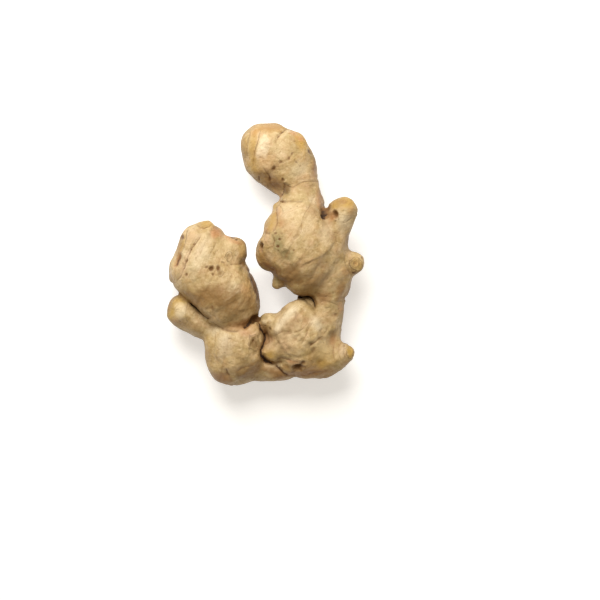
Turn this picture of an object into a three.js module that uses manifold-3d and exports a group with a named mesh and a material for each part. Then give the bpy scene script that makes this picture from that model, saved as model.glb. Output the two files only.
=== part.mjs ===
// A hand of fresh ginger: one rhizome of knobbly lobes, lying on its back.
// The lobes spread in the plane of the table, X to the right and Y along the hand,
// and +Z is up. The origin is on the table, under the middle of the hand.
// Each lobe is a body swept along its own spine, ringed where its scale leaves
// grew. The lobes are joined into one solid, which rests on small flat spots.

import * as THREE from "three";
import { mergeVertices } from "three/addons/utils/BufferGeometryUtils.js";
import Module from "manifold-3d";

// Driving dimensions, in millimetres
const GROOVE_DEPTH = 0.6; // how far a leaf ring is cut into its lobe
const GROOVE_WIDTH = 0.8;
const LIP_HEIGHT = 0.5; // the raised edge on the root side of each ring
const LIP_OFFSET = 1.5;
const LIP_WIDTH = 1.1;
const RING_LEAD = 1.2; // where the skin is level again on the tip side of a ring
const RING_WANDER = 1.0; // how far a ring strays along the lobe
const LUMP_HEIGHT = 0.7; // the slow swells of the skin
const STATION_GAP = 4; // the widest gap between two cross sections
const STATION_LEAST = 0.55;
const TIP_SHARES = [0.14, 0.5]; // sections that round off a tip, as shares of its radius
const SIDE_WIDTH = 4.35; // the width of a facet round the fattest cross section
const FEWEST_SIDES = 12;
const ROOT_ANGLES = [-Math.PI / 6, -Math.PI / 3]; // the hidden, rounded root end
const SLAB = { width: 200, thickness: 20 }; // what is cut away below the table
const SKIN_COLOUR = 0xc9a873;

// Each spine point is [x, y, z, radius] from the root of the lobe to its tip, and
// each ring is its distance back from the lobe's tip, along the spine.
const LOBES = {
  leftArm: {
    spine: [
      [-12, -31, 14, 7.5],
      [-16.2, -20.5, 18, 13.4],
      [-24.8, -9, 15.6, 15.8],
      [-28, 2, 16, 12.2],
      [-27.5, 6.5, 16.5, 7.2],
    ],
    rings: [3.5, 8, 13, 18.5, 25, 33, 41, 47],
  },
  leftArmFlap: {
    spine: [
      [-16.4, -13.6, 16, 9.8],
      [-13.6, -18, 16, 10.7],
    ],
    rings: [4],
  },
  leftArmFlank: {
    spine: [
      [-26, -4, 16, 12],
      [-32.8, -7.3, 15.5, 11],
    ],
    rings: [4, 7.5],
  },
  leftArmKnob: {
    spine: [
      [-22, -4, 18, 8],
      [-14.4, 1.9, 19, 6.6],
    ],
    rings: [3, 6.5],
  },
  leftArmBrow: {
    spine: [
      [-20, 2, 17, 5],
      [-18.2, 4.9, 18, 3.6],
    ],
    rings: [],
  },
  leftArmShoulder: {
    spine: [
      [-28, 0, 17, 8],
      [-33.3, 7.6, 16, 5.6],
    ],
    rings: [3, 6.5],
  },
  leftArmBud: {
    spine: [
      [-28, 10.6, 17.5, 4.2],
      [-25.8, 11, 19.5, 3.6],
    ],
    rings: [1.6],
  },
  leftFinger: {
    spine: [
      [-20, -34, 13, 7],
      [-31.5, -29.3, 13.5, 7.5],
      [-36.8, -25.4, 14, 8.1],
    ],
    rings: [2.5, 6, 12.5, 19],
  },
  leftBase: {
    spine: [
      [-12, -30, 14, 8.5],
      [-14, -40, 13.8, 13.8],
      [-14, -45.5, 14, 13.2],
    ],
    rings: [4, 9, 15.5, 22.5],
  },
  leftBaseSide: {
    spine: [
      [-9, -35.5, 16, 9.3],
      [-8.4, -43.5, 16, 9.6],
    ],
    rings: [],
  },
  leftBaseScar: {
    spine: [
      [-8, -39, 18, 6],
      [-6.2, -38.7, 21.2, 4.4],
    ],
    rings: [1.5],
  },
  web: {
    spine: [
      [-10, -40, 9.5, 8.8],
      [10, -40, 9.5, 8.8],
    ],
    rings: [],
  },
  bridge: {
    spine: [
      [-8, -49.5, 12.5, 7],
      [8, -50, 12.5, 7],
    ],
    rings: [10, 16],
  },
  rightBase: {
    spine: [
      [18, -44, 13, 12],
      [15.5, -37.5, 13.8, 14.2],
      [14.5, -30, 17.5, 9.5],
      [14.5, -25.5, 19, 5.5],
    ],
    rings: [3, 7.5, 13, 20, 27],
  },
  rightBaseEdge: {
    spine: [
      [8, -35.5, 16, 7.4],
      [7.6, -41, 16, 7.4],
    ],
    rings: [],
  },
  rightBaseTopKnob: {
    spine: [
      [8, -33, 17, 8],
      [1, -30, 18, 4.2],
    ],
    rings: [2.5, 6],
  },
  rightBaseLowKnob: {
    spine: [
      [8, -42, 17, 6],
      [2.3, -44, 19, 4.2],
    ],
    rings: [2.2, 5],
  },
  rightBaseFoot: {
    spine: [
      [12, -46, 16, 6],
      [9.5, -49.5, 18, 4],
    ],
    rings: [2.5],
  },
  rightBaseSide: {
    spine: [
      [22, -43, 14, 10],
      [26, -45, 14, 9.5],
    ],
    rings: [5, 9],
  },
  rightBaseBud: {
    spine: [
      [26, -45, 15, 8.5],
      [32, -45, 17, 6.4],
      [35, -44.3, 17.5, 4.7],
    ],
    rings: [1.5, 3.8, 7, 10.5],
  },
  column: {
    spine: [
      [22, -40, 12, 10],
      [26.5, -31, 14, 7.4],
      [27.5, -21, 15, 7.8],
      [28, -10, 16.5, 10.5],
      [24, 0, 18, 13],
    ],
    rings: [24, 31, 38, 45],
  },
  columnWeb: {
    spine: [
      [24, -21, 14, 7.2],
      [18, -21.5, 13, 5.2],
    ],
    rings: [],
  },
  rightMiddle: {
    spine: [
      [15.5, 24, 15, 9],
      [15.5, 14, 17.5, 13.2],
      [15.5, 4.5, 18.5, 16.8],
      [19, -5.5, 17.5, 13.4],
    ],
    rings: [5, 11, 18, 26, 34],
  },
  rightMiddleSide: {
    spine: [
      [10, 3, 18, 10],
      [4.5, 2, 17.5, 8.8],
    ],
    rings: [4, 7.5],
  },
  rightMiddleLow: {
    spine: [
      [8, 2, 17, 8],
      [2, -1.5, 17, 6.5],
    ],
    rings: [3],
  },
  rightMiddleSpur: {
    spine: [
      [9, -8, 16, 5],
      [5.8, -12.5, 16, 3.2],
    ],
    rings: [2],
  },
  rightMiddleScale: {
    spine: [
      [7.5, 17.5, 17, 4.5],
      [5, 13, 19, 5.6],
      [4.5, 9, 19.5, 5.2],
    ],
    rings: [2.5],
  },
  rightMiddleEye: {
    spine: [
      [4, 5, 20, 6],
      [1.6, 5.2, 22.6, 3.8],
    ],
    rings: [1.5],
  },
  rightKnob: {
    spine: [
      [28, -6, 17, 9],
      [36, -4, 17, 6.5],
      [39, -3.2, 17.5, 5.6],
    ],
    rings: [2, 5.5, 10],
  },
  rightFinger: {
    spine: [
      [24, -2, 18, 10],
      [29, 5, 19.5, 7.3],
      [32.5, 12.5, 21, 6.4],
      [34, 19.3, 22, 7],
    ],
    rings: [2.5, 6.5, 13, 19],
  },
  rightArm: {
    spine: [
      [15.5, 14, 17, 12],
      [15.6, 25, 15.5, 8.4],
      [13.8, 33.5, 14.5, 9.3],
      [9.5, 41, 13, 12],
      [5, 46.5, 12.6, 13.2],
      [-0.2, 48.6, 13.5, 9.7],
    ],
    rings: [2.5, 6.5, 15, 24, 31.5, 38],
  },
  rightArmCheek: {
    spine: [
      [8, 44, 13, 9],
      [-2.2, 42.2, 14, 6.8],
    ],
    rings: [4, 8],
  },
  rightArmJowl: {
    spine: [
      [-0.8, 40.4, 15.6, 7.2],
      [2.2, 36.6, 14, 6.4],
    ],
    rings: [3.5],
  },
};

// Pits where roots and shoots broke off: [x, y, z, radius] of each hollow
const PITS = [
  [30.6, 17.4, 29.2, 2.0],
  [14.2, -50.4, 25.0, 3.4],
  [-2.8, 4.2, 24.2, 1.9],
  [-39.8, -2.4, 26.4, 1.9],
];

// The slow swells of the skin: how far it stands out at a point.
function lump(p) {
  const wide = Math.sin(0.23 * p.x + 1.1) * Math.sin(0.19 * p.y + 0.4) + Math.sin(0.27 * p.z + 0.15 * p.x);
  const fine = Math.sin(0.52 * p.x - 0.31 * p.z + 2) * Math.sin(0.47 * p.y + 0.33 * p.z + 0.7);
  return LUMP_HEIGHT * (0.55 * wide + 0.6 * fine);
}

// How far a ring strays along its lobe at a point.
function wander(p) {
  return RING_WANDER * Math.sin(0.21 * p.x + 0.27 * p.z + 0.6) * Math.cos(0.24 * p.y - 0.19 * p.z);
}

// The height of the lips and grooves at a distance back from the lobe's tip.
function ringRelief(back, rings) {
  const bell = (offset, width) => Math.exp(-((offset / width) ** 2));
  const lip = (ring) => LIP_HEIGHT * bell(back - ring - LIP_OFFSET, LIP_WIDTH);
  const groove = (ring) => GROOVE_DEPTH * bell(back - ring, GROOVE_WIDTH);
  return rings.reduce((sum, ring) => sum + lip(ring) - groove(ring), 0);
}

// A smooth curve through points.
function smoothThrough(points) {
  return new THREE.CatmullRomCurve3(points, false, "catmullrom", 0.5);
}

// Distances back from the tip at which a lobe has a cross section, tip first. The
// rings set theirs, two round off the tip, and even steps fill what is left.
function stationsOf(rings, tipRadius, length) {
  const end = tipRadius + length;
  const wanted = rings.flatMap((ring) => [ring, ring + LIP_OFFSET, ring - RING_LEAD]);
  wanted.push(...TIP_SHARES.map((share) => share * tipRadius));
  const stops = [0, end];
  for (const d of wanted) {
    if (stops.every((stop) => Math.abs(stop - d) > STATION_LEAST) && d > 0 && d < end) stops.push(d);
  }
  stops.sort((a, b) => a - b);
  const stations = [];
  for (let i = 1; i < stops.length; i++) {
    const gap = stops[i] - stops[i - 1];
    const steps = Math.ceil(gap / STATION_GAP);
    for (let k = 1; k <= steps; k++) stations.push(stops[i - 1] + (gap * k) / steps);
  }
  return stations;
}

// A lobe as a closed mesh: rings of vertices round the spine, between a pole at its
// tip and a pole at its root, each pushed in and out by the skin's own relief.
function lobeGeometry({ spine, rings }) {
  const curve = smoothThrough(spine.map(([x, y, z]) => new THREE.Vector3(x, y, z)));
  const radii = smoothThrough(spine.map(([, , , r]) => new THREE.Vector3(r, 0, 0)));
  const length = curve.getLength();
  const tipRadius = spine.at(-1)[3];
  const fattest = Math.max(...spine.map((p) => p[3]));
  const sides = Math.max(FEWEST_SIDES, Math.round((2 * Math.PI * fattest) / SIDE_WIDTH));

  // Each section: how far along the spine, and how far round the end cap it looks.
  const sections = stationsOf(rings, tipRadius, length).map((back) => ({
    along: THREE.MathUtils.clamp(length + tipRadius - back, 0, length),
    lean: back < tipRadius ? Math.asin(1 - back / tipRadius) : 0,
    back,
  }));
  ROOT_ANGLES.forEach((lean) => sections.push({ along: 0, lean, back: tipRadius + length }));

  const positions = [];
  const side = new THREE.Vector3(0, 0, 1);
  const point = ({ along, lean, back }, turn) => {
    const t = curve.getUtoTmapping(along / length);
    const centre = curve.getPoint(t);
    const ahead = curve.getTangent(t);
    const radius = radii.getPoint(t).x;
    const right = side.clone().addScaledVector(ahead, -side.dot(ahead)).normalize();
    const across = ahead.clone().cross(right);
    const out = right.multiplyScalar(Math.cos(turn)).addScaledVector(across, Math.sin(turn));
    out.multiplyScalar(Math.cos(lean)).addScaledVector(ahead, Math.sin(lean));
    const skin = centre.clone().addScaledVector(out, radius);
    const relief = lump(skin) + ringRelief(back, rings);
    const slide = lean === 0 && along > 0 ? -wander(skin) : 0;
    return skin.addScaledVector(out, relief).addScaledVector(ahead, slide);
  };
  const add = (p) => positions.push(p.x, p.y, p.z);
  sections.forEach((section) => {
    for (let k = 0; k < sides; k++) add(point(section, (2 * Math.PI * k) / sides));
  });
  add(point({ along: length, lean: Math.PI / 2, back: 0 }, 0));
  add(point({ along: 0, lean: -Math.PI / 2, back: tipRadius + length }, 0));

  const faces = [];
  const tip = sections.length * sides;
  for (let k = 0; k < sides; k++) {
    const next = (k + 1) % sides;
    faces.push(tip, k, next);
    for (let i = 0; i + 1 < sections.length; i++) {
      const [a, b] = [i * sides + k, i * sides + next];
      faces.push(a, a + sides, b, b, a + sides, b + sides);
    }
    const last = (sections.length - 1) * sides;
    faces.push(last + k, tip + 1, last + next);
  }
  return new THREE.BufferGeometry()
    .setAttribute("position", new THREE.Float32BufferAttribute(positions, 3))
    .setIndex(faces);
}

const wasm = await Module();
wasm.setup();

// A closed three.js geometry as a solid that can be joined and cut.
function solidOf(geometry) {
  const bare = geometry.clone().deleteAttribute("normal").deleteAttribute("uv");
  const merged = mergeVertices(bare, 1e-4);
  return new wasm.Manifold(
    new wasm.Mesh({
      numProp: 3,
      vertProperties: new Float32Array(merged.attributes.position.array),
      triVerts: new Uint32Array(merged.index.array),
    }),
  );
}

// A solid back as a three.js geometry.
function geometryOf(solid) {
  const mesh = solid.getMesh();
  return new THREE.BufferGeometry()
    .setAttribute("position", new THREE.BufferAttribute(mesh.vertProperties, 3))
    .setIndex(new THREE.BufferAttribute(mesh.triVerts, 1));
}

// The whole hand: every lobe joined, the pits hollowed, the table cut away.
function handGeometry() {
  const lobes = Object.values(LOBES).map((lobe) => solidOf(lobeGeometry(lobe)));
  const joined = lobes.reduce((whole, lobe) => whole.add(lobe));
  const pitted = PITS.reduce((whole, [x, y, z, radius]) => {
    const pit = new THREE.IcosahedronGeometry(radius, 2).translate(x, y, z);
    return whole.subtract(solidOf(pit));
  }, joined);
  const slab = new THREE.BoxGeometry(SLAB.width, SLAB.width, SLAB.thickness);
  slab.translate(0, 0, -SLAB.thickness / 2);
  return geometryOf(pitted.subtract(solidOf(slab)));
}

const geometry = handGeometry();
geometry.computeBoundingBox();
const middle = geometry.boundingBox.getCenter(new THREE.Vector3());

const rhizome = new THREE.Mesh(
  geometry,
  new THREE.MeshStandardMaterial({ color: SKIN_COLOUR, roughness: 0.75, metalness: 0, flatShading: false }),
);
rhizome.name = "rhizome";
rhizome.position.set(-middle.x, -middle.y, 0);
geometry.computeVertexNormals();

const ginger = new THREE.Group();
ginger.add(rhizome);

export default ginger;
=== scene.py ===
"""A hand of fresh ginger on a pale table, seen from straight above.

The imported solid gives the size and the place. The skin that is seen is one fine mesh:
a field of lobes, blended where they grow together and creased where they only meet,
with ring scars, root scars and pits pressed into it, under a procedural skin material.
"""

from itertools import product

import bpy
import numpy as np
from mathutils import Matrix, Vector


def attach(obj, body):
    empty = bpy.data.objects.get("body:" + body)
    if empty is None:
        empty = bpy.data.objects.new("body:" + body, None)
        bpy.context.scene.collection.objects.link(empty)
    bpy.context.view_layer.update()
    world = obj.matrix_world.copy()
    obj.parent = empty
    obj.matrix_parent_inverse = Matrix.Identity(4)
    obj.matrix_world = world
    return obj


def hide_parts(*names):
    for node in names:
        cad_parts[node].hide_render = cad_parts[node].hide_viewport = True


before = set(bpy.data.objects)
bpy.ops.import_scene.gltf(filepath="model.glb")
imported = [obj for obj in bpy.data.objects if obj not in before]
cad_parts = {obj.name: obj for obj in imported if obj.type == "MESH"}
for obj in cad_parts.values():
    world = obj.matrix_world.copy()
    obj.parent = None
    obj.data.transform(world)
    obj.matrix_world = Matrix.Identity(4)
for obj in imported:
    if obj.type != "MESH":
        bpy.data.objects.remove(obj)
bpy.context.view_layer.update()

MM = 0.001

# The photograph: one of its pixels is this many millimetres on the ginger, and the
# lobes' own origin lies under this pixel.
PIXEL = 0.45
ORIGIN_PIXEL = (266.0, 255.0)
FRAME_PIXELS = 600
LOBES_TO_FRAME = np.array([0.321, 0.037, 0.0])  # from the lobes' origin to the row's

# The mesh, in millimetres
VOXEL = 0.6
MARGIN = 3.0
BLEND = 1.8  # how far round a seam two lobes grow together, unless a lobe says otherwise
CREASED = 0.25  # the share of the blend that is left in a crease
HUG = 0.9  # how fast a lobe's own rings fade where another lobe covers it

# The ring scars, in millimetres
LIP_HEIGHT = 0.58
LIP_REACH = 1.9
GROOVE_DEPTH = 0.52
GROOVE_REACH = 0.75
RING_WANDER = 1.0
LIP_RISE = 0.8
RING_DARK = 0.55
RING_DARK_REACH = 0.5
RINGS_ON_TOP = 0.33  # the share of their height left where strokes draw them instead

SEED = 7
SIDE_SHADE_BROWN = 0.7  # painted shade: how much browner the sides and the underside are made, and how much greyer
SIDE_SHADE_GREY = 0.45
SIDE_STARTS = 0.5  # how much the skin still faces up where its sides begin

# The stage, in metres
FLOOR_HALF = 4.0
CAMERA_HEIGHT = 1.0  # above the middle of the lobes' thickness
LOBE_MIDDLE = 0.015
SENSOR = 36.0  # mm
TABLE_GLOW = 0.5
WORLD_LIGHT = 0.36
WORLD_COLOUR = (1.0, 0.86, 0.64, 1.0)


def lobe_on(*spine, **values):
    """A lobe through spine points [x, y, z, radius], from its root to its tip."""
    return dict(spine=spine, **values)


def line_on(*path, **values):
    """What follows a path, given as pixels of the photograph."""
    return dict(path=path, **values)


def mark_at(u, v, half_across, half_up, **values):
    """What lies round a pixel of the photograph, with its half sizes in pixels."""
    return dict(at=(u, v), half=(half_across, half_up), **values)


# The way that the fat lobes' rings are stacked, where it isn't along the spine
LEFT_ARM_GRAIN = (-0.9, 0.4, 0.15)
LEFT_BASE_GRAIN = (-0.99, 0.1, 0.1)
RIGHT_BASE_GRAIN = (-0.7, 0.7, 0.1)
RIGHT_MIDDLE_GRAIN = (-0.86, 0.48, 0.15)

# Each lobe, with the distances of its ring scars back from its tip, or along its grain
# if it has one, how far it blends into its neighbours, and how yellow its young tip is
LOBES = {
    "left_base": lobe_on(
        (-12, -30, 14, 8.5), (-14, -40, 13.8, 13.8), (-14, -45.5, 14, 13.2),
        rings=[9, 16.5, 22.8, 27], grain=LEFT_BASE_GRAIN,
    ),
    "left_base_side": lobe_on(
        (-9, -35.5, 16, 9.3), (-8.4, -43.5, 16, 9.6),
        rings=[9], blend=3, grain=LEFT_BASE_GRAIN,
    ),
    "left_finger": lobe_on(
        (-20, -34, 13, 7), (-31.5, -29.3, 13.5, 7.5), (-36.8, -25.4, 14, 8.1),
        rings=[2.5, 12.5, 19], blend=1.6, yellow=0.9,
    ),
    "left_arm": lobe_on(
        (-12, -31, 14, 7.5), (-16.2, -20.5, 18, 13.4), (-24.8, -9, 15.6, 15.8), (-28.3, 1.7, 16, 11.9),
        (-27.5, 6.5, 16.5, 7.2),
        rings=[6, 14, 22, 30.3, 34.6], blend=1.2, grain=LEFT_ARM_GRAIN,
    ),
    "left_arm_flap": lobe_on(
        (-16.4, -13.6, 16, 9.8), (-13.6, -18, 16, 10.7),
        blend=1.2, grain=LEFT_ARM_GRAIN,
    ),
    "left_arm_flank": lobe_on(
        (-26, -4, 16, 12), (-32.8, -7.3, 15.5, 11),
        rings=[30.3, 34.6], blend=3, grain=LEFT_ARM_GRAIN,
    ),
    "left_arm_knob": lobe_on(
        (-22, -4, 18, 8), (-14.4, 1.9, 19, 6.6),
        blend=1.4, yellow=0.4, grain=LEFT_ARM_GRAIN,
    ),
    "left_arm_brow": lobe_on((-20, 2, 17, 5), (-18.2, 4.9, 18, 3.6), blend=1.2),
    "left_arm_shoulder": lobe_on(
        (-28, 0, 17, 8), (-33.3, 7.6, 16, 5.6),
        rings=[30.3, 34.6], blend=2.2, grain=LEFT_ARM_GRAIN,
    ),
    "left_arm_bud": lobe_on(
        (-28, 10.8, 17.5, 4.2), (-26.3, 11.2, 19.5, 3.5),
        rings=[1.8], blend=1.2, yellow=0.8,
    ),
    "web": lobe_on((-10, -40, 9.5, 8.8), (10, -40, 9.5, 8.8), blend=1.5),
    "bridge": lobe_on((-8, -49.5, 12.5, 7), (8, -50, 12.5, 7), rings=[10], blend=2),
    "right_base": lobe_on(
        (18, -44, 13, 12), (15.5, -37.5, 13.8, 14.2), (14.5, -30, 17.5, 9.5), (14.5, -25.5, 19, 5.5),
        rings=[-26, -20, -14, -8], blend=1.2, grain=RIGHT_BASE_GRAIN,
    ),
    "right_base_edge": lobe_on((8, -35.5, 16, 7.4), (7.6, -41, 16, 7.4), blend=2, grain=RIGHT_BASE_GRAIN),
    "right_base_top_knob": lobe_on(
        (8, -33, 17, 8), (1, -30, 18, 4.2),
        rings=[2.5, 6], blend=2.2, yellow=0.3,
    ),
    "right_base_low_knob": lobe_on((8, -42, 17, 6), (1.8, -44, 19, 4.4), rings=[4], blend=1.6, yellow=0.9),
    "right_base_foot": lobe_on((12, -46, 16, 6), (9.5, -49.5, 18, 4), rings=[2.5], blend=1.6),
    "right_base_side": lobe_on((22, -43, 14, 10), (26, -45, 14, 9.5), rings=[5], blend=3, yellow=0.25),
    "right_base_bud": lobe_on(
        (26, -45, 15, 8.5), (32, -45, 17, 6.4), (35, -44.3, 17.5, 4.7),
        rings=[1.5, 3.8, 7, 10.5], blend=2, yellow=0.8,
    ),
    "column": lobe_on(
        (22, -40, 12, 10), (26.5, -31, 14, 7.4), (27.5, -21, 15, 7.8), (28, -10, 16.5, 10.5),
        (24, 0, 18, 13),
        rings=[31, 45], blend=3,
    ),
    "column_web": lobe_on((24, -21, 14, 7.2), (18, -21.5, 13, 5.2)),
    "right_middle": lobe_on(
        (15.5, 24, 15, 9), (15.5, 14, 17.5, 13.2), (15.5, 4.5, 18.5, 16.8), (19, -5.5, 17.5, 13.4),
        rings=[-24, -18, -9.5, -3], blend=2.6, grain=RIGHT_MIDDLE_GRAIN,
    ),
    "right_middle_side": lobe_on(
        (10, 3, 18, 10), (4.5, 2, 17.5, 8.8),
        rings=[-3, 3], blend=3, grain=RIGHT_MIDDLE_GRAIN,
    ),
    "right_middle_low": lobe_on((8, 2, 17, 8), (2, -1.5, 17, 6.5), rings=[3], blend=2.5, yellow=0.35),
    "right_middle_spur": lobe_on(
        (8.4, -8, 16, 5.4), (5.3, -12.5, 16, 3.5),
        rings=[2], blend=2.5, yellow=0.3,
    ),
    "right_middle_scale": lobe_on(
        (5.0, 21.0, 17, 2.7), (6.2, 17.4, 18, 4.4), (5, 13, 19, 5.6), (4.5, 9, 19.5, 5.2),
        blend=2,
    ),
    "right_middle_eye": lobe_on((4, 5, 20, 6), (1.6, 5.2, 22.6, 3.8), rings=[1.6], blend=1.5),
    "right_knob": lobe_on(
        (28, -6, 17, 9), (36, -4, 17, 6.5), (39, -3.2, 17.5, 5.6),
        rings=[5.5, 10], blend=3, yellow=0.7,
    ),
    "right_finger": lobe_on(
        (24, -2, 18, 10), (29, 5, 19.5, 7.3), (32.5, 12.5, 21, 6.4), (34, 19.3, 22, 7),
        rings=[6.5, 16], blend=3.2, yellow=1.0,
    ),
    "right_arm": lobe_on(
        (15.5, 14, 17, 12), (15.6, 25, 15.5, 8.4), (13.8, 33.5, 14.5, 9.3), (9.5, 41, 13, 12.3),
        (1.8, 47.3, 12.6, 12.5), (-0.2, 48.6, 13.5, 9.7),
        rings=[2.5, 6.5, 31.5], blend=3, yellow=0.35,
    ),
    "right_arm_cheek": lobe_on((8, 44, 13, 9), (-2.2, 42.2, 14, 6.8), blend=3),
    "right_arm_crown": lobe_on((2.5, 48, 13, 9), (2.9, 54.7, 13, 5.2), blend=1.5),
    "right_arm_brow": lobe_on((10, 43, 14, 8), (10.1, 47, 13.5, 9.0), blend=1.2),
    "right_arm_jowl": lobe_on(
        (-0.8, 40.4, 15.6, 7.2), (2.2, 36.6, 14, 6.4), (5.6, 31.4, 14, 4.6),
        blend=3,
    ),
}

# Where lobes only press against each other: [x, y, z, reach] of each crease
CREASES = [
    (-28, -23.5, 19, 7),
    (-14, -33.5, 22, 9),
    (-1, -34, 18, 8),
    (3, -48, 17, 6),
    (17, -21, 20, 8),
    (26, 16, 20, 6),
]

# Clefts between lobes that only touch: in millimetres half the width of the dark line,
# how far it is carved and how deep, and how dark it is, where that is less than 1. The
# dark line and the brown round it are painted shade in the gap.
CLEFTS = {
    "under_left_arm": line_on(
        (190, 302), (193, 304.5), (197.3, 307.6), (202.3, 312.6), (207.3, 316.1), (212, 319),
        half=0.5, carve=0.8, depth=1.6,
    ),
    "between_bases": line_on(
        (257.5, 319), (261, 327.8), (264.5, 334), (265.3, 339), (263, 346), (261.4, 352.2),
        (263.4, 358.4), (268.4, 362), (275.5, 364.5),
        half=0.36, carve=0.7, depth=1.0,
    ),
    "over_right_base": line_on(
        (297, 297), (302, 297), (308, 296.4), (312, 299), (314.6, 303.5), (315.4, 309.5),
        half=0.55, carve=0.85, depth=2.2,
    ),
    "base_foot": line_on(
        (275.5, 364), (280, 369), (284.3, 372.3), (288.5, 374),
        half=0.4, carve=0.8, depth=0.8, dark=0.9,
    ),
    "left_arm_foot": line_on(
        (244.5, 327.6), (248, 325), (252, 320.5), (256.5, 315),
        half=0.38, carve=0.8, depth=1.1, dark=0.95,
    ),
}
CLEFT_FLOOR = 12.0  # no cleft reaches lower than this

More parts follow.
